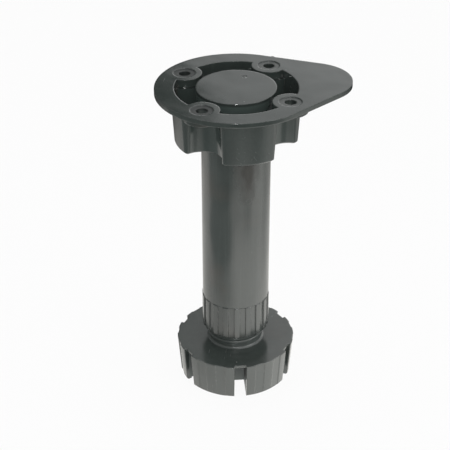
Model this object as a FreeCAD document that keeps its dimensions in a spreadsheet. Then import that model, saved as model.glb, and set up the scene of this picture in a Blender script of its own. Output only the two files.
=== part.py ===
import FreeCAD, Part
import math
import os
import re
import Sketcher

# Adjustable cabinet leg: a mounting plate with a socket, a tube that stands in the
# socket, and a castellated foot whose hollow stem screws up into the tube.
# The frame's origin is the centre of the plate's mounting face, on the leg's axis.
# +Z points up, out of the leg, and +X along the plate's tail. Lengths are millimetres
# and angles degrees.

sizes = (
    # mounting plate
    ("flange_radius", 36.8, "round part of the flange"),
    ("flange_thickness", 2.3, "flange"),
    ("tail_reach", 34.6, "axis to the centre of the tail's round end"),
    ("tail_radius", 18.8, "round end of the tail"),
    ("housing_depth", 25.6, "mounting face to the housing's mouth"),
    ("housing_mouth_radius", 28.1, "lobes at the mouth"),
    ("housing_top_radius", 29.5, "lobes under the flange"),
    ("housing_wall", 1.5, "walls of the lobes"),
    ("housing_floor", 1.8, "floor of the lobes' pockets"),
    ("lobe_rounding", 2.0, "upright corners of the lobes, at the mouth"),
    ("mouth_bevel", 0.8, "lower edges of the lobes"),
    ("recess_radius", 27.9, "ring recess in the mounting face"),
    ("recess_depth", 3.6, "ring recess, from the mounting face down"),
    ("cup_radius", 18.2, "disc in the middle, the closed top of the socket"),
    ("cup_roof", 2.2, "thickness of that disc"),
    ("screw_circle", 28.0, "axis to each screw hole"),
    ("screw_hole_radius", 2.65, "screw holes"),
    ("screw_seat_radius", 5.1, "shallow sinking round each screw hole"),
    ("screw_seat_depth", 0.4, "depth of that sinking"),
    ("boss_radius", 8.05, "screw bosses"),
    ("boss_height", 4.4, "screw bosses, from the mounting face down"),
    ("valley_radius", 9.1, "hollows under the bosses, at the mouth"),
    # leg tube
    ("tube_radius", 16.0, "tube"),
    ("tube_length", 124.5, "tube"),
    ("tube_bore_radius", 14.3, "plain bore above the thread"),
    ("tube_bevel", 0.6, "edges of the tube's ends"),
    ("socket_clearance", 0.08, "tube in the socket, on the radius"),
    ("socket_end_play", 0.3, "tube's end to the socket's roof"),
    ("grip_height", 17.6, "ribbed grip at the tube's lower end"),
    ("grip_rib_radius", 16.25, "tops of the ribs"),
    ("grip_groove_radius", 15.6, "floors of the grooves"),
    ("grip_count", 18, "ribs round the tube"),
    ("grip_groove_width", 2.8, "grooves"),
    # adjusting foot
    ("foot_height", 19.0, "floor to the foot's top"),
    ("foot_top_radius", 28.8, "skirt at the top"),
    ("foot_floor_radius", 27.3, "skirt at the floor"),
    ("foot_plate", 1.3, "top of the foot"),
    ("foot_bevel", 0.8, "lower outer edge of the skirt"),
    ("skirt_wall", 2.6, "skirt"),
    ("flute_depth", 0.45, "flutes in the skirt"),
    ("flute_width", 4.3, "floor of a flute"),
    ("flutes_per_slot", 3, "flute pitches from one slot to the next"),
    ("slot_count", 6, "slots for the adjusting key"),
    ("slot_width", 5.8, "slots"),
    ("slot_mouth", 0.4, "depth of the widened mouths of the slots"),
    ("side_lean", 45, "sides of flutes and slot mouths, from straight outwards"),
    ("slot_notch_radius", 27.2, "axis to where the slots end in the foot's top"),
    ("slot_direction", -97.6, "first slot, from +X"),
    ("slot_guide", 1.3, "walls round each slot, from the hub to the skirt"),
    ("slot_guide_lift", 0.6, "floor to the lower edges of those walls"),
    ("hub_radius", 11.8, "hub under the foot's top"),
    ("stem_length", 43.5, "stem above the foot's top"),
    ("stem_bore_radius", 9.8, "bore through stem and hub"),
    ("stem_slope", 0.8, "slope where the stem meets the foot's top"),
    ("foot_out", 7.9, "foot's top to the tube's end, as the leg is set"),
    # screw thread of the stem and the tube
    ("thread_radius", 13.85, "crests of the stem's thread"),
    ("thread_depth", 0.85, "thread"),
    ("thread_clearance", 0.08, "crests of the stem's thread to the tube's bore"),
    ("nut_height", 15.0, "threaded length in the tube"),
    # cuts
    ("overrun", 1.0, "how far a cut starts outside the surface that it opens"),
    ("pocket_step", 0.1, "least reach of the lobes' pockets beside the cup"),
)

doc = FreeCAD.newDocument("cabinet_leg")
sheet = doc.addObject("Spreadsheet::Sheet", "Sizes")
for row, (alias, number, note) in enumerate(sizes, start=1):
    sheet.set("A%d" % row, note)
    sheet.set("B%d" % row, str(number))
    sheet.setAlias("B%d" % row, alias)
doc.recompute()
same = 1e-3
aliases = re.compile(r"\b(%s)\b" % "|".join(alias for alias, number, note in sizes))


def value(expression):
    """The number that an expression on the sizes gives."""
    return float(sheet.evalExpression(expression))


def bind(item, name, expression):
    """Tie a property of a feature to an expression on the sizes."""
    item.setExpression(name, aliases.sub(r"Sizes.\1", expression))


def ownPlane(body, role):
    """One of the body's own planes or axes."""
    return [item for item in body.Origin.OriginFeatures if item.Role == role][0]


def sketchOn(body, name, role, height=None):
    """A sketch on one of the body's own planes, or at a height above it."""
    sketch = body.newObject("Sketcher::SketchObject", name)
    sketch.AttachmentSupport = [(ownPlane(body, role), "")]
    sketch.MapMode = "FlatFace"
    if height is not None:
        bind(sketch, "AttachmentOffset.Base.z", height)
    return sketch


def pin(sketch, geometry, point, x, y):
    """Hold a point of a sketch at two expressions."""
    for kind, place, axis in (("DistanceX", x, -2), ("DistanceY", y, -1)):
        if place == "0":
            sketch.addConstraint(Sketcher.Constraint("PointOnObject", geometry, point, axis))
            continue
        rule = Sketcher.Constraint(kind, -1, 1, geometry, point, value(place))
        bind(sketch, "Constraints[%d]" % sketch.addConstraint(rule), place)


def join(sketch, kind, *pairs):
    """Join ends of geometry: each pair names a piece and its end, twice."""
    for pair in pairs:
        sketch.addConstraint(Sketcher.Constraint(kind, *pair))


def polygon(sketch, points):
    """A closed outline whose corners stand at pairs of expressions."""
    corners = [FreeCAD.Vector(value(x), value(y), 0) for x, y in points]
    for here, there in zip(corners, corners[1:] + corners[:1]):
        sketch.addGeometry(Part.LineSegment(here, there))
    count = len(corners)
    join(sketch, "Coincident", *((step, 2, (step + 1) % count, 1) for step in range(count)))
    for step, (x, y) in enumerate(points):
        pin(sketch, step, 1, x, y)


def rounding(sketch, x, y, radius, start=None, end=None):
    """A circle, or an arc between two directions, round a point, with its radius bound."""
    shape = Part.Circle(FreeCAD.Vector(x, y, 0), FreeCAD.Vector(0, 0, 1), value(radius))
    if start is not None:
        shape = Part.ArcOfCircle(shape, math.radians(start), math.radians(end))
    geometry = sketch.addGeometry(shape)
    rule = Sketcher.Constraint("Radius", geometry, value(radius))
    bind(sketch, "Constraints[%d]" % sketch.addConstraint(rule), radius)
    return geometry


def roundShape(sketch, x, y, radius, start=None, end=None):
    """A rounding whose centre is held at two expressions."""
    pin(sketch, rounding(sketch, value(x), value(y), radius, start, end), 3, x, y)


def feature(body, kind, name, profile, **bound):
    """A feature of a body on a sketch, with its sizes bound to expressions."""
    made = body.newObject("PartDesign::" + kind, name)
    made.Profile = profile
    for key, expression in bound.items():
        bind(made, key, expression)
    return made


def turned(body, kind, name, points):
    """A full turn, about the body's axis, of an outline of radii and heights."""
    sketch = sketchOn(body, name + "Section", "XZ_Plane")
    polygon(sketch, points)
    made = feature(body, kind, name, sketch)
    made.ReferenceAxis = (sketch, ["V_Axis"])
    made.Angle = 360
    doc.recompute()
    return made


def ringOf(body, name, originals, count):
    """Copies of features, evenly spaced round the body's axis."""
    pattern = body.newObject("PartDesign::PolarPattern", name)
    pattern.Originals = originals
    pattern.Axis = (ownPlane(body, "Z_Axis"), [""])
    pattern.Angle = 360
    bind(pattern, "Occurrences", count)
    body.Tip = pattern
    doc.recompute()
    return pattern


def span(item):
    """Distance from the axis of a piece of shape's middle, and its lowest and highest height."""
    box, middle = item.BoundBox, item.CenterOfMass
    return math.hypot(middle.x, middle.y), box.ZMin, box.ZMax


def bevelled(body, name, base, size, wanted):
    """Bevel the edges of a feature that pass a test."""
    picked = ["Edge%d" % step for step, edge in enumerate(base.Shape.Edges, start=1) if wanted(*span(edge))]
    made = body.newObject("PartDesign::Chamfer", name)
    made.Base = (base, picked)
    bind(made, "Size", size)
    doc.recompute()
    return made


def leaned(body, name, base, angle, neutral, radii):
    """Mould draft on the upright round walls of some radii, which keep their size in a plane."""
    faces = base.Shape.Faces
    walls = ["Face%d" % step for step, face in enumerate(faces, start=1)
             if face.Surface.TypeId == "Part::GeomCylinder"
             and any(abs(face.Surface.Radius - value(radius)) < same for radius in radii)]
    made = body.newObject("PartDesign::Draft", name)
    made.Base = (base, walls)
    made.NeutralPlane = neutral
    made.Reversed = True
    bind(made, "Angle", angle)
    doc.recompute()
    return made


def flatGroove(sketch, floor, surface, half, spread="0"):
    """Section of a flat groove that points along +X, with sides that spread where it opens."""
    beyond = surface + " + overrun"
    wide = "%s + %s" % (half, spread)
    polygon(sketch, ((floor, "-(%s)" % half), (beyond, "-(%s)" % wide), (beyond, wide), (floor, half)))


def newBody(label, base):
    """A body whose base stands at an expression above the mounting face."""
    body = doc.addObject("PartDesign::Body", label)
    body.Label = label
    bind(body, "Placement.Base.z", base)
    return body


# Heights in the plate, from the housing's mouth up, and places round its axis
ledge = "housing_depth - recess_depth"
bossUnder = "housing_depth - boss_height"
underFlange = "housing_depth - flange_thickness"
socketRadius = "tube_radius + socket_clearance"
bossAcross = "screw_circle * cos(45)"
mouldDraft = "atan((housing_top_radius - housing_mouth_radius) / (%s))" % underFlange


def lobeOutline(sketch):
    """Four lobes round the axis, with rounded corners, and a valley at each screw boss."""
    corner, across = value("lobe_rounding"), value(bossAcross)
    circle = value("screw_circle")
    reach = value("housing_mouth_radius") - corner
    aside = (reach ** 2 + circle ** 2 - (value("valley_radius") + corner) ** 2) / (2 * reach * circle)
    half = 45 - math.degrees(math.acos(aside))
    near, far = reach * math.sin(math.radians(half)), reach * math.cos(math.radians(half))
    toBoss = math.degrees(math.atan2(across - near, across - far))
    for quarter, (east, north) in enumerate((("", ""), ("-", ""), ("-", "-"), ("", "-"))):
        turn = 90 * quarter
        way = FreeCAD.Rotation(FreeCAD.Vector(0, 0, 1), turn)
        first, second = (way.multVec(FreeCAD.Vector(*place, 0)) for place in ((far, near), (near, far)))
        roundShape(sketch, "0", "0", "housing_mouth_radius", turn - half, turn + half)
        rounding(sketch, first.x, first.y, "lobe_rounding", turn + half, turn + toBoss)
        roundShape(sketch, east + bossAcross, north + bossAcross, "valley_radius",
                   turn + 270 - toBoss, turn + 180 + toBoss)
        rounding(sketch, second.x, second.y, "lobe_rounding", turn + 90 - toBoss, turn + 90 - half)
        lobe = 4 * quarter
        join(sketch, "Tangent", (lobe, 2, lobe + 1, 1), (lobe + 1, 2, lobe + 2, 2))
        join(sketch, "Tangent", (lobe + 2, 1, lobe + 3, 1))
    for quarter in range(4):
        join(sketch, "Tangent", (4 * quarter + 3, 2, (4 * quarter + 4) % 16, 1))


def addHousing(body):
    """The four lobes, wider towards the flange as the mould's draft leaves them."""
    sketch = sketchOn(body, "LobeSection", "XY_Plane")
    lobeOutline(sketch)
    lobes = feature(body, "Pad", "Lobes", sketch, Length=underFlange)
    doc.recompute()
    mouth = (ownPlane(body, "XY_Plane"), [""])
    walls = leaned(body, "LobeDraft", lobes, mouldDraft, mouth,
                   ("housing_mouth_radius", "lobe_rounding", "valley_radius"))
    bevelled(body, "MouthEdges", walls, "mouth_bevel", lambda reach, low, high: high < same)


def addFlange(body):
    """Teardrop flange: two round ends and the two lines that touch both."""
    sketch = sketchOn(body, "FlangeOutline", "XY_Plane", underFlange)
    lean = value("acos((flange_radius - tail_radius) / tail_reach)")
    upper = FreeCAD.Vector(math.cos(math.radians(lean)), math.sin(math.radians(lean)), 0)
    lower = FreeCAD.Vector(upper.x, -upper.y, 0)
    tail = FreeCAD.Vector(value("tail_reach"), 0, 0)
    big, small = value("flange_radius"), value("tail_radius")
    roundShape(sketch, "0", "0", "flange_radius", lean, 360 - lean)
    sketch.addGeometry(Part.LineSegment(lower * big, tail + lower * small))
    roundShape(sketch, "tail_reach", "0", "tail_radius", -lean, lean)
    sketch.addGeometry(Part.LineSegment(tail + upper * small, upper * big))
    join(sketch, "Tangent", (0, 2, 1, 1), (1, 2, 2, 1), (2, 2, 3, 1), (3, 2, 0, 1))
    feature(body, "Pad", "Flange", sketch, Length="flange_thickness")
    doc.recompute()


def boreSocket(body):
    """Round socket for the tube, closed at the top by the disc."""
    sketch = sketchOn(body, "SocketSection", "XY_Plane")
    roundShape(sketch, "0", "0", socketRadius)
    socket = feature(body, "Pocket", "Socket", sketch, Length="housing_depth - cup_roof")
    socket.Reversed = True
    doc.recompute()


def addBosses(body):
    """Ring recess in the mounting face, with the four screw bosses standing in it."""
    turned(body, "Groove", "RingRecess", (
        ("cup_radius", ledge),
        ("recess_radius", ledge),
        ("recess_radius", "housing_depth"),
        ("cup_radius", "housing_depth"),
    ))
    sketch = sketchOn(body, "BossSection", "XY_Plane", bossUnder)
    roundShape(sketch, bossAcross, bossAcross, "boss_radius")
    boss = feature(body, "Pad", "Boss", sketch, Length="boss_height")
    doc.recompute()
    ringOf(body, "Bosses", [boss], "4")


def cutLobePockets(body):
    """Deep pocket in each lobe, from the mounting face down, between the walls of two valleys."""
    notch = "max(boss_radius + housing_wall; screw_circle - cup_radius + pocket_step)"
    lobe = "housing_mouth_radius - housing_wall - overrun"
    meeting = "acos((pow(%s; 2) + pow(screw_circle; 2) - pow(%s; 2)) / (2 * (%s) * screw_circle))"
    circle, centre = value("screw_circle"), value(bossAcross)

    def meets(radius):
        """Where a circle about the axis meets a notch: seen from the axis and from the boss."""
        away = (radius ** 2 + circle ** 2 - value(notch) ** 2) / (2 * radius * circle)
        seen = math.radians(45) - math.acos(away)
        back = math.atan2(radius * math.sin(seen) - centre, radius * math.cos(seen) - centre)
        return math.degrees(seen), math.degrees(back)

    outer, last = meets(value(lobe))
    inner, first = meets(value("cup_radius"))
    sketch = sketchOn(body, "LobePocketSection", "XY_Plane", ledge)
    roundShape(sketch, "0", "0", lobe, -outer, outer)
    roundShape(sketch, bossAcross, bossAcross, notch, first, last)
    roundShape(sketch, "0", "0", "cup_radius", -inner, inner)
    roundShape(sketch, bossAcross, "-" + bossAcross, notch, -last, -first)
    join(sketch, "Coincident", (0, 2, 1, 2), (1, 1, 2, 2), (2, 1, 3, 2), (3, 1, 0, 1))
    pocket = feature(body, "Pocket", "LobePocket", sketch, Length=ledge + " - housing_floor")
    doc.recompute()
    sketch = sketchOn(body, "LobeWallSection", "XZ_Plane")
    polygon(sketch, (
        ("(%s) - overrun" % lobe, "housing_floor"),
        ("housing_mouth_radius - housing_wall", "housing_floor"),
        ("recess_radius", ledge),
        ("(%s) - overrun" % lobe, ledge),
    ))
    wall = feature(body, "Groove", "LobeWall", sketch)
    wall.ReferenceAxis = (sketch, ["V_Axis"])
    wall.Midplane = True
    bind(wall, "Angle", "90 deg - 2 * " + meeting % (lobe, notch, lobe))
    doc.recompute()
    ringOf(body, "LobePockets", [pocket, wall], "4")


def drillScrewHoles(body):
    """Screw holes through the bosses, each with a shallow sinking in the mounting face."""
    sketch = sketchOn(body, "ScrewHoleCentres", "XY_Plane", "housing_depth")
    for across in (bossAcross, "-" + bossAcross):
        for along in (bossAcross, "-" + bossAcross):
            roundShape(sketch, across, along, "screw_hole_radius")
    hole = feature(body, "Hole", "ScrewHoles", sketch)
    doc.recompute()
    hole.ThreadType = 0
    hole.DepthType = "ThroughAll"
    bind(hole, "Diameter", "2 * screw_hole_radius")
    hole.HoleCutType = "Counterbore"
    hole.HoleCutCustomValues = True
    bind(hole, "HoleCutDiameter", "2 * screw_seat_radius")
    bind(hole, "HoleCutDepth", "screw_seat_depth")
    doc.recompute()


def mountingPlate():
    body = newBody("mounting_plate", "-housing_depth")
    addHousing(body)
    addFlange(body)
    boreSocket(body)
    addBosses(body)
    cutLobePockets(body)
    drillScrewHoles(body)
    return body


# Tube and foot, from their own lower ends up
tubeBase = "-(cup_roof + socket_end_play + tube_length)"
footBase = "%s - foot_out - foot_height" % tubeBase
stemRoot = "thread_radius - thread_depth"
nutBore = "thread_radius + thread_clearance"


def legTube():
    body = newBody("leg_tube", tubeBase)
    turned(body, "Revolution", "Tube", (
        (nutBore, "tube_bevel"),
        (nutBore + " + tube_bevel", "0"),
        ("grip_rib_radius - tube_bevel", "0"),
        ("grip_rib_radius", "tube_bevel"),
        ("grip_rib_radius", "grip_height"),
        ("tube_radius", "grip_height"),
        ("tube_radius", "tube_length - tube_bevel"),
        ("tube_radius - tube_bevel", "tube_length"),
        ("tube_bore_radius", "tube_length"),
        ("tube_bore_radius", "nut_height + tube_bore_radius - (%s)" % nutBore),
        (nutBore, "nut_height"),
    ))
    sketch = sketchOn(body, "GripGrooveSection", "XY_Plane")
    bind(sketch, "AttachmentOffset.Rotation.Angle", "180 / grip_count")
    flatGroove(sketch, "grip_groove_radius", "grip_rib_radius", "grip_groove_width / 2")
    groove = feature(body, "Pocket", "GripGroove", sketch, Length="grip_height")
    groove.Reversed = True
    doc.recompute()
    ringOf(body, "GripGrooves", [groove], "grip_count")
    return body


def leaningCut(body, name, half, depth):
    """A cut down the skirt, which leans, so it is lofted from the floor to the top."""
    ends = (("Floor", "foot_floor_radius", "0"), ("Top", "foot_top_radius", "foot_height"))
    sections = []
    for end, surface, height in ends:
        sketch = sketchOn(body, name + end, "XY_Plane", height)
        spread = "(%s + overrun) * tan(side_lean)" % depth
        flatGroove(sketch, "%s - %s" % (surface, depth), surface, half, spread)
        sections.append(sketch)
    cut = feature(body, "SubtractiveLoft", name, sections[0])
    cut.Sections = sections[1:]
    cut.Ruled = True
    doc.recompute()
    return cut


def addGuides(body):
    """Blocks under the foot's top, from the hub to the skirt, that the slots run into."""
    sketch = sketchOn(body, "GuideSection", "XY_Plane", "slot_guide_lift")
    half = "slot_width / 2 + slot_guide"
    inner, outer = "(stem_bore_radius + hub_radius) / 2", "foot_floor_radius - foot_bevel"
    polygon(sketch, ((inner, "-(%s)" % half), (outer, "-(%s)" % half), (outer, half), (inner, half)))
    guide = feature(body, "Pad", "Guide", sketch, Length="foot_height - foot_plate / 2 - slot_guide_lift")
    doc.recompute()
    ringOf(body, "Guides", [guide], "slot_count")


def addFlutes(body):
    """Flutes down the skirt."""
    flute = leaningCut(body, "Flute", "flute_width / 2", "flute_depth")
    ringOf(body, "Flutes", [flute], "flutes_per_slot * slot_count")


def cutSlots(body):
    """Slots for the adjusting key, through skirt and blocks and the edge of the foot's top."""
    under = "foot_height - foot_plate"
    inside = stemRoot + " + slot_guide"
    beyond = "foot_top_radius + overrun"
    sketch = sketchOn(body, "SlotSection", "XZ_Plane")
    polygon(sketch, (
        (inside, "0"),
        (beyond, "0"),
        (beyond, "foot_height"),
        ("slot_notch_radius", "foot_height"),
        ("slot_notch_radius", under),
        (inside, under),
    ))
    slot = feature(body, "Pocket", "Slot", sketch, Length="slot_width")
    slot.SideType = "Symmetric"
    doc.recompute()
    mouth = leaningCut(body, "SlotMouth", "slot_width / 2", "slot_mouth")
    ringOf(body, "Slots", [slot, mouth], "slot_count")


def adjustingFoot():
    body = newBody("adjusting_foot", footBase)
    bind(body, "Placement.Rotation.Angle", "slot_direction")
    under = "foot_height - foot_plate"
    top = "foot_height + stem_length"
    turned(body, "Revolution", "Foot", (
        ("stem_bore_radius", "0"),
        ("hub_radius", "0"),
        (stemRoot, under),
        ("foot_top_radius - skirt_wall", under),
        ("foot_floor_radius - skirt_wall", "0"),
        ("foot_floor_radius - foot_bevel", "0"),
        ("foot_floor_radius", "foot_bevel"),
        ("foot_top_radius", "foot_height"),
        (stemRoot + " + stem_slope", "foot_height"),
        (stemRoot, "foot_height + stem_slope"),
        (stemRoot, top + " - tube_bevel"),
        (stemRoot + " - tube_bevel", top),
        ("stem_bore_radius", top),
    ))
    addGuides(body)
    addFlutes(body)
    cutSlots(body)
    return body


bodies = [mountingPlate(), legTube(), adjustingFoot()]
doc.recompute()
for item in doc.Objects:
    if "Invalid" in item.State or "Error" in item.State:
        raise RuntimeError("%s failed: %s" % (item.Name, item.State))
os.makedirs("parts", exist_ok=True)
for body in bodies:
    shape = body.Shape
    if shape.isNull() or not shape.isValid() or len(shape.Solids) != 1:
        raise RuntimeError("%s has no single valid solid" % body.Label)
    shape.exportStep("parts/%s.step" % body.Label)
    box = shape.BoundBox
    print("%-16s %8.0f mm3  z %.2f to %.2f" % (body.Label, shape.Volume, box.ZMin, box.ZMax))
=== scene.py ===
import math
import bmesh
import bpy
from mathutils import Matrix, Vector


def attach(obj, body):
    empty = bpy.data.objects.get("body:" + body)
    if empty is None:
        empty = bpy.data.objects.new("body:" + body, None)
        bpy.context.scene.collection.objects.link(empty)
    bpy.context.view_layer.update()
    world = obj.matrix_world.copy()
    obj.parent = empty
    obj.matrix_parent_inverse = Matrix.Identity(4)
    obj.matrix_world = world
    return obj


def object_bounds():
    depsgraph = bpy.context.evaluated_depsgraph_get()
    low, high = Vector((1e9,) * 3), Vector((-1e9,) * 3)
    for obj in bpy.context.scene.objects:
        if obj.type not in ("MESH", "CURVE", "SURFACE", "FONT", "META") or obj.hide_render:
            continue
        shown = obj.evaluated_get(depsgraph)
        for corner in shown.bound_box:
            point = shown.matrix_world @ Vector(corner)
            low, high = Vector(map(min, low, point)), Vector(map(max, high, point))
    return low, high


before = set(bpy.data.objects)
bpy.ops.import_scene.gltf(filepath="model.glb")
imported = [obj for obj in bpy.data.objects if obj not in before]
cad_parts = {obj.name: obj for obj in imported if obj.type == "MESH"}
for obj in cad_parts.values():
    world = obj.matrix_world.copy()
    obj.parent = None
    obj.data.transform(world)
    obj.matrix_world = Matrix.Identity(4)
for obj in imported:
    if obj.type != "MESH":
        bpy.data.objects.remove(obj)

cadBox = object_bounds()
millimetre = 0.001


class Wire:
    # one output of a node, so that shader maths reads as Python
    def __init__(self, finish, socket):
        self.finish, self.socket = finish, socket

    def maths(self, operation, *others):
        return self.finish.node("ShaderNodeMath", {"operation": operation}, [self, *others])

    def __add__(self, other):
        return self.maths("ADD", other)

    def __radd__(self, other):
        return self + other

    def __sub__(self, other):
        return self.maths("SUBTRACT", other)

    def __rsub__(self, other):
        return self.finish.node("ShaderNodeMath", {"operation": "SUBTRACT"}, [other, self])

    def __mul__(self, other):
        return self.maths("MULTIPLY", other)

    def __rmul__(self, other):
        return self * other

    def __truediv__(self, other):
        return self.maths("DIVIDE", other)

    def __rtruediv__(self, other):
        return self.finish.node("ShaderNodeMath", {"operation": "DIVIDE"}, [other, self])

    def __pow__(self, other):
        return self.maths("POWER", other)


class Finish:
    # one material, or the world, and the nodes that make it
    def __init__(self, name, world=None):
        self.material = world or bpy.data.materials.new(name)
        self.material.use_nodes = True
        self.nodes = self.material.node_tree.nodes
        self.links = self.material.node_tree.links
        self.nodes.clear()
        self.out = self.nodes.new("ShaderNodeOutputWorld" if world else "ShaderNodeOutputMaterial")

    def feed(self, socket, value):
        if isinstance(value, Wire):
            self.links.new(value.socket, socket)
        elif isinstance(value, (tuple, list)) and len(value) == 3 and socket.type == "RGBA":
            socket.default_value = (*value, 1)
        else:
            socket.default_value = value

    def node(self, kind, settings=(), inputs=(), output=0):
        made = self.nodes.new(kind)
        for key, value in dict(settings).items():
            if key == "stops":
                ramp = made.color_ramp.elements
                while len(ramp) < len(value):
                    ramp.new(0.5)
                for element, (place, level) in zip(ramp, value):
                    element.position, element.color = place, (level, level, level, 1)
            else:
                setattr(made, key, value)
        pairs = inputs.items() if isinstance(inputs, dict) else enumerate(inputs)
        for key, value in pairs:
            self.feed(made.inputs[key], value)
        return Wire(self, made.outputs[output])

    def noise(self, place, scale, detail=2.0, roughness=0.5):
        return self.node("ShaderNodeTexNoise", {}, {
            "Vector": place, "Scale": scale, "Detail": detail, "Roughness": roughness})

    def scaled(self, vector, by):
        # a place or a colour, each part times its own factor
        return self.node("ShaderNodeVectorMath", {"operation": "MULTIPLY"}, [vector, by])

    def apart(self, place, other):
        return self.node("ShaderNodeVectorMath", {"operation": "DISTANCE"}, [place, other], 1)

    def dot(self, vector, other):
        return self.node("ShaderNodeVectorMath", {"operation": "DOT_PRODUCT"}, [vector, other], 1)

    def between(self, value, low, high):
        # 0 at low, 1 at high, smooth in the middle; low may be the larger one
        return self.node("ShaderNodeMapRange", {"interpolation_type": "SMOOTHSTEP"},
                         [value, low, high, 0.0, 1.0])

    def blend(self, mask, first, second):
        return self.node("ShaderNodeMix", {"data_type": "RGBA"}, {0: mask, 6: first, 7: second}, 2)

    def parts(self, vector):
        made = self.node("ShaderNodeSeparateXYZ", {}, [vector])
        return [Wire(self, socket) for socket in made.socket.node.outputs]


# Moulded black plastic, a little different on each piece
plasticLooks = {
    "plate": {
        "colour": (0.034, 0.042, 0.039), "wornAndEdgeHighlight": (0.11, 0.115, 0.112), "streaks": "even",
        "roughness": 0.12, "index": 1.56, "grain": 0.05, "warp": 0.25,
        "specks": 0.25, "hairs": 0.35, "warmth": 0.35, "satin": 0.14},
    "tube": {
        "colour": (0.034, 0.041, 0.038), "wornAndEdgeHighlight": (0.12, 0.125, 0.122), "streaks": "lengthwise",
        "roughness": 0.20, "index": 1.75, "grain": 0.04, "warp": 1.4,
        "specks": 0.08, "hairs": 0.12, "warmth": 0.45, "satin": 0.0},
    "foot": {
        "colour": (0.043, 0.052, 0.048), "wornAndEdgeHighlight": (0.12, 0.125, 0.122), "streaks": "even",
        "roughness": 0.19, "index": 1.70, "grain": 0.03, "warp": 0.2,
        "specks": 0.45, "hairs": 0.40, "warmth": 0.15, "satin": 0.0},
}

# How the melt's flow, the mould's lines and the unevenness are stretched
streakWays = {
    "even": {"flow": (40.0, 25.0, 40.0), "lines": (300.0, 300.0, 30.0), "uneven": (45.0, 45.0, 45.0)},
    "lengthwise": {"flow": (60.0, 60.0, 9.0), "lines": (900.0, 900.0, 25.0), "uneven": (48.0, 48.0, 20.0)},
}

# What the mould leaves. Scales are per metre, and a span is where a mask starts and is full.
mouldMarks = {
    "cloudScale": 90.0,
    "cloudSpan": (0.3, 0.7),
    "cloudShare": 0.5,
    "cloudLighter": 1.22,
    "flowScale": 4.0,
    "flowRougher": 0.08,
    "flowHeight": 0.5,
    "grainScale": 3200.0,
    "lineSpan": (0.45, 0.75),
    "lineShare": 0.25,
    "lineLighter": 1.6,
    "lineHeight": 0.05,
    "warmScale": 34.0,
    "warmSpan": (0.50, 0.68),
    "warmColour": (0.060, 0.049, 0.040),
    "flangeUnder": (-0.002, -0.004),  # below it are the warm patches and the satin
    "floorFacing": (0.5, 0.9),  # faces of a hollow that look up are its floor, painted darker than its walls
    "fineDepth": 0.1,  # millimetres, as is each look's warp
    "fineStrength": 0.35,
}

# What use has added, and lighter edges that are partly wear and partly a painted highlight
wear = {
    "edgeRadius": 0.7,  # millimetres
    "edgeSpan": (0.985, 0.80),
    "edgePatchScale": 260.0,
    "edgePatchSpan": (0.35, 0.7),
    "edgeShare": 0.5,
    "edgeRougher": 0.14,
    "hairTurn": {"Axis": (0.3, 0.8, 0.5), "Angle": 0.7},
    "hairStretch": (1500.0, 70.0, 400.0),
    "hairSpan": (0.70, 0.76),
    "hairPatchScale": 55.0,
    "hairPatchSpan": (0.52, 0.62),
    "hairRougher": 0.4,
    "hairDepth": 0.05,
    "dustScale": 420.0,
    "dustSpan": (0.16, 0.08),
    "dustChance": (0.965, 0.975),
    "dustFacing": (0.3, 0.8),  # only on faces that look up
    "dustColour": (0.55, 0.56, 0.54),
    "dustRougher": 0.4,
}


def rubbedEdgesAndHighlights(finish, place, normal):
    # lighter edges: partly rubbed wear, partly a painted highlight along every edge
    soft = finish.node("ShaderNodeBevel", {"samples": 6}, {"Radius": wear["edgeRadius"] * millimetre})
    patchy = finish.between(finish.noise(place, wear["edgePatchScale"], 3.0), *wear["edgePatchSpan"])
    return soft, finish.between(finish.dot(soft, normal), *wear["edgeSpan"]) * patchy


def hairScratches(finish, place):
    wander = finish.node("ShaderNodeVectorRotate", {}, {"Vector": place, **wear["hairTurn"]})
    hairs = finish.noise(finish.scaled(wander, wear["hairStretch"]), 1.0, 1.0)
    patches = finish.noise(place, wear["hairPatchScale"], 1.0)
    return finish.between(hairs, *wear["hairSpan"]) * finish.between(patches, *wear["hairPatchSpan"])


def dustSpecks(finish, place, up):
    cells = {"Vector": place, "Scale": wear["dustScale"]}
    dots = finish.between(finish.node("ShaderNodeTexVoronoi", {}, cells), *wear["dustSpan"])
    chance = finish.node("ShaderNodeSeparateColor", {}, [finish.node("ShaderNodeTexVoronoi", {}, cells, 1)])
    return dots * finish.between(chance, *wear["dustChance"]) * finish.between(up, *wear["dustFacing"])


def screwSeatMasks(finish, x, y, seats):
    east, north = (axis.maths("ABSOLUTE") - seats["across"] for axis in (x, y))
    around = (east ** 2 + north ** 2) ** 0.5
    seat = finish.between(around, seats["radius"] + seats["blur"], seats["radius"] - seats["blur"])
    seat = seat * (seats["tailShare"] + finish.between(x, *seats["tailSpan"]) * (1 - seats["tailShare"]))
    return seat, finish.between(around, seats["column"] + seats["columnBlur"], seats["column"])


def hollowMask(finish, x, y, z, hollow):
    inside = finish.between((x ** 2 + y ** 2) ** 0.5, hollow["outer"], hollow["inner"])
    return finish.between(z, hollow["above"], hollow["below"]) * inside


def shadePatchMask(finish, place, shadePatch):
    # painted shade: a darker brown patch just under the housing
    aside = finish.apart(finish.scaled(place, (1.0, 1.0, shadePatch["flat"])), shadePatch["place"])
    ragged = finish.noise(finish.scaled(place, shadePatch["raggedStretch"]), shadePatch["raggedScale"], 4.0, 0.65)
    aside = aside + (ragged - 0.5) * shadePatch["raggedReach"]
    return finish.between(aside, shadePatch["outer"], shadePatch["inner"]) * shadePatch["strength"]


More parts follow.
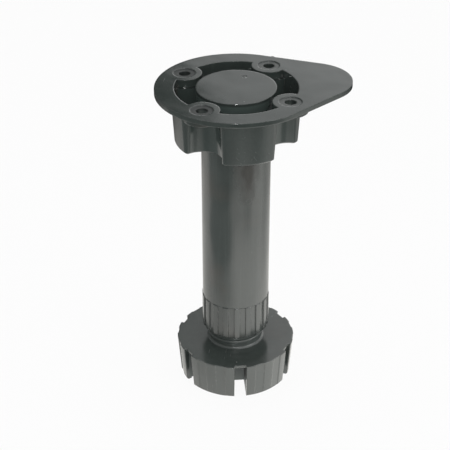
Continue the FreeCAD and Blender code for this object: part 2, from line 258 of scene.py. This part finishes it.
def gateMasks(finish, place, gate):
    # a ragged dark ring round the stump, and a painted glint beside it
    aside = finish.apart(place, gate["place"]) / gate["radius"]
    ring = finish.between(aside, *gate["ringOutside"])
    ring = ring - finish.between(aside, *gate["ringInside"]) * gate["stumpShare"]
    ring = ring * finish.between(finish.noise(place, gate["raggedScale"], 3.0), *gate["raggedSpan"])
    paintedGlint = finish.apart(place, gate["paintedGlint"])
    return ring, finish.between(paintedGlint, gate["paintedGlintRadius"], gate["paintedGlintRadius"] * 0.5)


def lighter(colour, factor):
    return tuple(part * factor for part in colour)


def mouldedPlastic(name, look, hollow=None, seats=None, stem=None, shadePatch=None, gate=None):
    finish = Finish(name)
    marks, way = mouldMarks, streakWays[look["streaks"]]
    place = finish.node("ShaderNodeTexCoord", {}, {}, 3)
    normal = finish.node("ShaderNodeNewGeometry", {}, {}, 1)
    x, y, z = finish.parts(place)
    up = finish.parts(normal)[2]

    clouds = finish.noise(place, marks["cloudScale"], 3.0)
    flow = finish.noise(finish.scaled(place, way["flow"]), marks["flowScale"], 4.0, 0.6)
    grain = finish.noise(place, marks["grainScale"], 2.0, 0.6)
    lines = finish.noise(finish.scaled(place, way["lines"]), 1.0, 3.0)
    soft, edge = rubbedEdgesAndHighlights(finish, place, normal)
    scratch = hairScratches(finish, place)
    dust = dustSpecks(finish, place, up) * look["specks"]

    # colour, from the melt to what lies on it, with painted light and shade in the hollows and on the screw
    # seats
    shade = finish.blend(finish.between(clouds, *marks["cloudSpan"]) * marks["cloudShare"],
                         look["colour"], lighter(look["colour"], marks["cloudLighter"]))
    shade = finish.blend(finish.between(lines, *marks["lineSpan"]) * marks["lineShare"],
                         shade, lighter(look["colour"], marks["lineLighter"]))
    below = finish.between(z, *marks["flangeUnder"])
    warm = finish.between(finish.noise(place, marks["warmScale"], 2.0), *marks["warmSpan"])
    shade = finish.blend(warm * below * look["warmth"], shade, marks["warmColour"])
    deep = seat = 0.0
    paintedWallShading = hollow["colour"] if hollow else None
    # painted shade on the screw seats, and on the hollow's walls round the screw columns
    if seats:
        seat, column = screwSeatMasks(finish, x, y, seats)
        shade = finish.blend(seat, shade, seats["colour"])
        paintedWallShading = finish.blend(column, paintedWallShading, seats["columnShade"])
    # painted light and shade in a hollow: its walls and its floors that look up get their own colours
    if hollow:
        deep = hollowMask(finish, x, y, z, hollow)
        inside = finish.blend(finish.between(up, *marks["floorFacing"]), paintedWallShading, hollow["floor"])
        shade = finish.blend(deep, shade, inside)
    # lighter edges, partly wear and partly a painted highlight, left out in the hollows
    edge = edge * (1 - deep)
    shade = finish.blend(edge * wear["edgeShare"], shade, look["wornAndEdgeHighlight"])
    shade = finish.blend(scratch * look["hairs"], shade, look["wornAndEdgeHighlight"])
    shade = finish.blend(dust, shade, wear["dustColour"])

    # gloss, and the fine heights
    rough = look["roughness"] + (flow - 0.5) * marks["flowRougher"] + edge * wear["edgeRougher"]
    rough = rough + scratch * look["hairs"] * wear["hairRougher"] + dust * wear["dustRougher"]
    rough = rough + below * (1 - deep) * look["satin"]
    height = grain * look["grain"] + lines * marks["lineHeight"] + flow * marks["flowHeight"]
    height = height - scratch * wear["hairDepth"]
    if hollow:
        rough = rough + deep * hollow["rougher"]
        soft = finish.node("ShaderNodeMix", {"data_type": "VECTOR"},
                           {0: deep * hollow["sharper"], 4: soft, 5: normal}, 1)
    if seats:
        rough = rough + seat * seats["rougher"]
    if stem:
        rough = rough + finish.between(z, *stem["above"]) * stem["rougher"]
    if shadePatch:
        # painted shade just under the housing
        underHousingShade = shadePatchMask(finish, place, shadePatch)
        shade = finish.blend(underHousingShade, shade, shadePatch["colour"])
        rough = rough + underHousingShade * shadePatch["rougher"]
    if gate:
        ring, paintedGlint = gateMasks(finish, place, gate)
        shade = finish.blend(ring, shade, gate["dark"])
        # painted glint beside the gate
        shade = finish.blend(paintedGlint, shade, gate["light"])
        rough = rough + ring * gate["rougher"]
        height = height - ring * gate["depth"]

    uneven = finish.noise(finish.scaled(place, way["uneven"]), 1.0, 1.5)
    sunk = finish.node("ShaderNodeBump", {}, {
        "Strength": 1.0, "Distance": look["warp"] * millimetre, "Height": uneven, "Normal": soft})
    bump = finish.node("ShaderNodeBump", {}, {
        "Strength": marks["fineStrength"], "Distance": marks["fineDepth"] * millimetre,
        "Height": height, "Normal": sunk})
    shader = finish.node("ShaderNodeBsdfPrincipled", {}, {
        "Base Color": shade, "Roughness": rough, "IOR": look["index"], "Normal": bump})
    finish.feed(finish.out.inputs[0], shader)
    return finish.material


def dress(node, material):
    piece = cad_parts[node]
    piece.data.materials.clear()
    piece.data.materials.append(material)
    piece.data.shade_smooth()
    piece.data.set_sharp_from_angle(angle=math.radians(20))
    return piece


# The plate: ring recess with its lobes, seats round the screw holes, the gate on the disc. Painted light
# lies on the recess walls, painted shade on the recess floors, on the seats and on the walls round the screw
# columns, and a painted glint beside the gate.
plateHollow = {
    "above": -0.0008,
    "below": -0.002,
    "outer": 0.0275,
    "inner": 0.0265,
    "rougher": 0.02,
    "sharper": 0.8,
    # painted light on the recess walls, painted shade on its floors
    "colour": (0.068, 0.088, 0.081),
    "floor": (0.018, 0.022, 0.021),
}
screwSeats = {
    "across": 0.0198,  # from the middle, along x and along y
    "radius": 0.0051,
    "blur": 0.00015,
    "tailShare": 0.45,  # how much of the painted shade the two seats on the tail's side keep
    "tailSpan": (0.01, -0.01),
    "column": 0.0098,
    "columnBlur": 0.0003,
    "rougher": 0.35,
    # the next two are painted shade: on the seats, and on the hollow's walls round the screw columns
    "colour": (0.014, 0.018, 0.017),
    "columnShade": (0.042, 0.053, 0.049),
}
gateMark = {
    "place": (0.0059, 0.0098, 0.0),
    "radius": 0.0016,
    "ringOutside": (1.0, 0.65),
    "ringInside": (0.5, 0.25),
    "stumpShare": 0.7,
    "raggedScale": 900.0,
    "raggedSpan": (0.40, 0.58),
    "dark": (0.004, 0.005, 0.005),
    "rougher": 0.5,
    "depth": 2.5,
    # a painted glint beside the gate
    "paintedGlint": (0.0064, 0.0085, 0.0),
    "paintedGlintRadius": 0.0007,
    "light": (0.20, 0.21, 0.205),
}
platePlastic = mouldedPlastic("plate black plastic", plasticLooks["plate"],
                              hollow=plateHollow, seats=screwSeats, gate=gateMark)

# The tube: painted shade, a darker brown patch just under the housing
tubeShadePatch = {
    "place": (0.0020, -0.0158, -0.0102),  # with its z already times flat
    "flat": 0.31,
    "outer": 0.0073,
    "inner": 0.0017,
    "raggedStretch": (1.0, 1.0, 0.4),
    "raggedScale": 260.0,
    "raggedReach": 0.008,
    "strength": 0.9,
    "rougher": 0.62,
    "colour": (0.011, 0.010, 0.006),
}
tubePlastic = mouldedPlastic("tube black plastic", plasticLooks["tube"], shadePatch=tubeShadePatch)

# The foot: painted light on the walls and floor of the hollow under its top, and the duller stem
footHollow = {
    "above": -0.1352,
    "below": -0.137,
    "outer": 0.0265,
    "inner": 0.0255,
    "rougher": 0.45,
    "sharper": 0.8,
    # painted light: walls and floor of the hollow far lighter than the foot's own colour
    "colour": (0.115, 0.130, 0.124),
    "floor": (0.080, 0.092, 0.087),
}
footStem = {"above": (-0.1345, -0.1339), "rougher": 0.22}
footPlastic = mouldedPlastic("foot black plastic", plasticLooks["foot"], hollow=footHollow, stem=footStem)

dress("mounting_plate", platePlastic)
dress("leg_tube", tubePlastic)
dress("adjusting_foot", footPlastic)
print("plastic on the plate, the tube and the foot")


def addPiece(name, shape):
    mesh = bpy.data.meshes.new(name)
    shape.to_mesh(mesh)
    shape.free()
    piece = bpy.data.objects.new(name, mesh)
    bpy.context.scene.collection.objects.link(piece)
    return piece


# The coarse thread wound round the foot's stem, in millimetres
stemThread = {
    "pitch": 3.0,
    "root": 13.0,
    "sunk": 0.2,
    "crest": 13.85,
    "rootWidth": 1.9,
    "crestWidth": 0.8,
    "roundedBy": (0.12, 0.1),  # the crest's corners, inwards and along the stem
    "lowest": -133.0,
    "turns": 13,
    "steps": 96,
    "runIn": 0.3,  # part of a turn in which each end fades out
}


def woundThread(name, look):
    shape = bmesh.new()
    rows = []
    count = look["turns"] * look["steps"]
    root, under = look["root"], look["root"] - look["sunk"]
    wide, narrow = look["rootWidth"] / 2, look["crestWidth"] / 2
    inwards, along = look["roundedBy"]
    for step in range(count + 1):
        angle = 2 * math.pi * step / look["steps"]
        grown = min(1.0, min(step, count - step) / (look["steps"] * look["runIn"]))
        grown = grown * grown * (3 - 2 * grown)
        crest = root + (look["crest"] - root) * grown
        middle = look["lowest"] + look["pitch"] * angle / (2 * math.pi)
        section = [
            (under, -wide), (root, -wide),
            (crest - inwards * grown, -narrow - along), (crest, -narrow + along),
            (crest, narrow - along), (crest - inwards * grown, narrow + along),
            (root, wide), (under, wide),
        ]
        across, ahead = math.cos(angle), math.sin(angle)
        rows.append([shape.verts.new((radius * across * millimetre, radius * ahead * millimetre,
                                      (middle + rise) * millimetre)) for radius, rise in section])
    for here, there in zip(rows, rows[1:]):
        for k in range(len(here)):
            after = (k + 1) % len(here)
            shape.faces.new((here[k], there[k], there[after], here[after]))
    shape.faces.new(rows[0])
    shape.faces.new(list(reversed(rows[-1])))
    bmesh.ops.recalc_face_normals(shape, faces=shape.faces)
    piece = addPiece(name, shape)
    piece.data.shade_smooth()
    piece.data.set_sharp_from_angle(angle=math.radians(40))
    return piece


thread = woundThread("stem_thread", stemThread)
thread.data.materials.append(footPlastic)
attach(thread, "foot")
print("thread on the stem")


# Where the runner was broken off the flange's edge, in millimetres and degrees
runnerStub = {
    "direction": 50.6,
    "radius": 36.8,
    "width": 2.0,
    "proud": 1.9,
    "sunk": 0.6,
    "lowest": -1.5,
    "highest": -0.1,
    "narrowing": 0.45,
}


def brokenStub(name, look):
    shape = bmesh.new()
    bmesh.ops.create_cube(shape, size=1.0)
    bmesh.ops.subdivide_edges(shape, edges=shape.edges, cuts=3, use_grid_fill=True)
    tall = look["highest"] - look["lowest"]
    for vertex in shape.verts:
        x, y, z = vertex.co
        narrow = 1 - look["narrowing"] * (x + 0.5) ** 2
        ragged = 0.12 * math.sin(19 * y + 7 * z) + 0.08 * math.cos(31 * z)
        vertex.co.x = look["proud"] * (x * 2 + ragged) if x > 0 else -look["sunk"]
        vertex.co.y = y * look["width"] * narrow
        vertex.co.z = (look["lowest"] + look["highest"]) / 2 + z * tall * narrow
    shape.transform(Matrix.Translation((look["radius"], 0, 0)))
    shape.transform(Matrix.Rotation(math.radians(look["direction"]), 4, "Z"))
    shape.transform(Matrix.Scale(millimetre, 4))
    piece = addPiece(name, shape)
    piece.data.shade_smooth()
    return piece


stub = brokenStub("runner_stub", runnerStub)
stub.data.materials.append(platePlastic)
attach(stub, "plate")
print("stub of the runner on the flange's edge")


# Pale floor. The camera sees the white sky through it, under its shadow, and its underside lets
# all light through, so the foot shows wound out and from below. To gloss it glows with painted
# light: a pool brightest near the leg, a painted dark side towards the front left and a painted
# dark patch at the front right.
studio = {
    "reach": 6.0,
    "drop": 0.05,  # millimetres under the foot
    "whiteness": (0.80, 0.80, 0.80),
    "seenThrough": 0.93,
    "right": (0.975, -0.2215, 0.0),  # the picture's right, along the floor
    "near": (-0.2215, -0.975, 0.0),  # towards the viewer, along the floor
    "poolLevel": 1.6,
    "poolReach": 0.208,
    "poolWidth": 0.52,
    "poolFall": 8,
    "away": 0.60,  # what is left of the pool behind the leg and left of it
    "awayRight": (-0.05, 0.01),
    "awayNear": (-0.06, 0.02),
    "farRight": (0.06, 0.24),
    "farRightLoss": 0.24,
    "darkLevel": 0.42,
    "darkFall": (0.15, 0.21),
    "darkLoss": 0.45,
    "darkEdge": 0.045,
    "darkBlur": 0.03,
    "darkBend": 0.13,
    "darkBow": 0.155,
    "paintedDarkPatch": (0.15, 0.19),
    "paintedDarkPatchSize": (0.035, 0.09),
    "paintedDarkPatchLevel": 0.3,
    "cool": (0.92, 1.0, 0.97),
    "warm": (1.0, 0.99, 0.95),
}


def rayKinds(finish):
    outputs = finish.nodes.new("ShaderNodeLightPath").outputs
    return Wire(finish, outputs["Is Camera Ray"]), Wire(finish, outputs["Is Glossy Ray"])


def mirroredFloor(finish):
    place = finish.node("ShaderNodeNewGeometry", {}, {}, 0)
    right, near = (finish.dot(place, studio[axis]) for axis in ("right", "near"))

    # the painted pool of light, dimmer behind and left of the leg and far to the right
    away = ((right * studio["poolWidth"]) ** 2 + near ** 2) ** 0.5
    lit = studio["poolLevel"] / (1 + (away / studio["poolReach"]) ** studio["poolFall"])
    facing = finish.between(right, *studio["awayRight"])
    facing = facing.maths("MINIMUM", finish.between(near, *studio["awayNear"]))
    lit = lit * (studio["away"] + facing * (1 - studio["away"]))
    lit = lit * (1 - finish.between(right, *studio["farRight"]) * studio["farRightLoss"])

    # the painted dark patch
    paintedDarkPatchRight, paintedDarkPatchNear = studio["paintedDarkPatch"]
    paintedDarkPatch = ((right - paintedDarkPatchRight) ** 2 + (near - paintedDarkPatchNear) ** 2) ** 0.5
    share = studio["paintedDarkPatchLevel"]
    lit = lit * (share + finish.between(paintedDarkPatch, *studio["paintedDarkPatchSize"]) * (1 - share))

    # the painted dark side, behind a bowed edge
    bend = (studio["darkBend"] - near).maths("MAXIMUM", 0.0)
    edge = right + studio["darkEdge"] + bend ** 2 / studio["darkBow"]
    side = finish.between(edge, -studio["darkBlur"], studio["darkBlur"])
    dark = studio["darkLevel"] * (1 - finish.between(away, *studio["darkFall"]) * studio["darkLoss"])
    return dark + (lit - dark) * side, side


def paleFloor():
    finish = Finish("studio floor")
    seen, glossy = rayKinds(finish)
    matt = finish.node("ShaderNodeBsdfDiffuse", {}, {"Color": studio["whiteness"]})
    clear = finish.node("ShaderNodeBsdfTransparent", {}, {"Color": (1.0, 1.0, 1.0)})
    level, side = mirroredFloor(finish)
    tint = finish.blend(side, studio["cool"], studio["warm"])
    sheen = finish.node("ShaderNodeEmission", {}, {"Color": finish.scaled(tint, level), "Strength": 1.0})
    mixed = finish.node("ShaderNodeMixShader", {}, [seen * studio["seenThrough"], matt, clear])
    mixed = finish.node("ShaderNodeMixShader", {}, [glossy, mixed, sheen])
    underside = finish.node("ShaderNodeNewGeometry", {}, {}, 6)
    mixed = finish.node("ShaderNodeMixShader", {}, [underside, mixed, clear])
    finish.feed(finish.out.inputs[0], mixed)
    shape = bmesh.new()
    bmesh.ops.create_grid(shape, x_segments=1, y_segments=1, size=studio["reach"])
    floor = addPiece("studio_floor", shape)
    floor.location.z = cadBox[0][2] - studio["drop"] * millimetre
    floor.data.materials.append(finish.material)


# Sky: plain for diffuse light, and for gloss a backdrop that upward faces mirror, given from
# left to right for its low part and by a slope for its high part
sky = {
    "diffuse": 0.50,
    "mirrored": ((0.0, 0.25), (0.44, 0.0), (0.470, 0.0), (0.4755, 0.08), (0.479, 0.40), (0.4825, 0.82),
                 (0.4875, 0.92), (0.4925, 0.84), (0.515, 0.86), (0.55, 1.10), (1.0, 0.95)),
    "lean": 0.8,
    "leanSpan": (0.40, 0.44),
    "leanFrom": 0.41,
    "lowLevel": 1.96,
    "lowFall": 2.3,
    "highLevel": 0.66,
    "highSlope": 5.5,
    "highSpan": (0.40, 1.05),
    "meet": (0.47, 0.53),
    "level": 0.72,
    "rise": 0.65,
}


def skyLight():
    world = bpy.data.worlds.new("studio")
    bpy.context.scene.world = world
    finish = Finish("studio sky", world)
    seen, glossy = rayKinds(finish)
    way = finish.node("ShaderNodeTexCoord", {}, {}, 0)
    right, high = finish.dot(way, studio["right"]), finish.parts(way)[2]
    lean = finish.node("ShaderNodeClamp", {}, [high, *sky["leanSpan"]]) - sky["leanFrom"]
    across = (right - lean * sky["lean"]) * 0.5 + 0.5
    low = finish.node("ShaderNodeValToRGB", {"stops": sky["mirrored"]}, [across])
    low = low * (sky["lowLevel"] - high * sky["lowFall"])
    above = finish.node("ShaderNodeClamp", {}, [
        sky["highLevel"] + right * sky["highSlope"], *sky["highSpan"]])
    mirrored = low + (above - low) * finish.between(high, *sky["meet"])
    mirrored = mirrored * (sky["level"] + high * sky["rise"])
    level = finish.node("ShaderNodeMix", {"data_type": "FLOAT"}, {0: glossy, 2: sky["diffuse"], 3: mirrored})
    level = finish.node("ShaderNodeMix", {"data_type": "FLOAT"}, {0: seen, 2: level, 3: 1.0})
    plain = finish.node("ShaderNodeBackground", {}, {"Color": (1.0, 1.0, 1.0), "Strength": level})
    finish.feed(finish.out.inputs[0], plain)


# Power 9.87 W at a metre lights a facing surface as a white sky does
lamps = {
    "overhead soft box": {"place": (0.10, 0.15, 1.1), "size": (1.2, 1.0), "power": 4.8},
    "right soft box": {"place": (0.85, -0.75, 0.10), "size": (0.6, 0.5), "power": 3.5},
    "small lamp": {"place": (-0.20, -0.88, 0.43), "size": (0.05, 0.05), "power": 3.0},
}
lampsAim = (0, 0, -0.06)


def addLamps():
    for name, look in lamps.items():
        data = bpy.data.lights.new(name, "AREA")
        data.shape = "RECTANGLE"
        data.size, data.size_y = look["size"]
        data.energy = look["power"]
        lamp = bpy.data.objects.new(name, data)
        lamp.location = look["place"]
        towards = Vector(lampsAim) - Vector(look["place"])
        lamp.rotation_euler = towards.to_track_quat("-Z", "Y").to_euler()
        lamp.visible_camera = False
        bpy.context.scene.collection.objects.link(lamp)


# The photograph's viewpoint, read off the round rims and the tube's sides
viewpoint = {
    "distance": 535.5,
    "heading": -102.8,
    "height": 250.1,
    "down": 31.03,
    "aside": -0.55,
    "roll": -0.10,
    "lens": 105.35,
    "sensor": 36.0,
}


def addCamera():
    data = bpy.data.cameras.new("camera")
    data.sensor_width = viewpoint["sensor"]
    data.lens = viewpoint["lens"]
    camera = bpy.data.objects.new("camera", data)
    heading, down, aside, roll = (
        math.radians(viewpoint[key]) for key in ("heading", "down", "aside", "roll"))
    turn = Matrix.Rotation(heading + math.pi / 2, 3, "Z")
    forward = Vector((math.sin(aside) * math.cos(down), math.cos(aside) * math.cos(down), -math.sin(down)))
    right = forward.cross(Vector((0, 0, 1))).normalized()
    up = right.cross(forward)
    rolledRight = right * math.cos(roll) + up * math.sin(roll)
    rolledUp = up * math.cos(roll) - right * math.sin(roll)
    axes = [turn @ axis for axis in (rolledRight, rolledUp, -forward)]
    place = turn @ Vector((0, -viewpoint["distance"], 0))
    place.z = viewpoint["height"]
    matrix = Matrix(axes).transposed().to_4x4()
    matrix.translation = place * millimetre
    camera.matrix_world = matrix
    data.clip_start = 0.01
    bpy.context.scene.collection.objects.link(camera)
    bpy.context.scene.camera = camera


paleFloor()
skyLight()
addLamps()
addCamera()
bpy.context.scene.view_settings.view_transform = "Standard"
print("floor, light and camera")
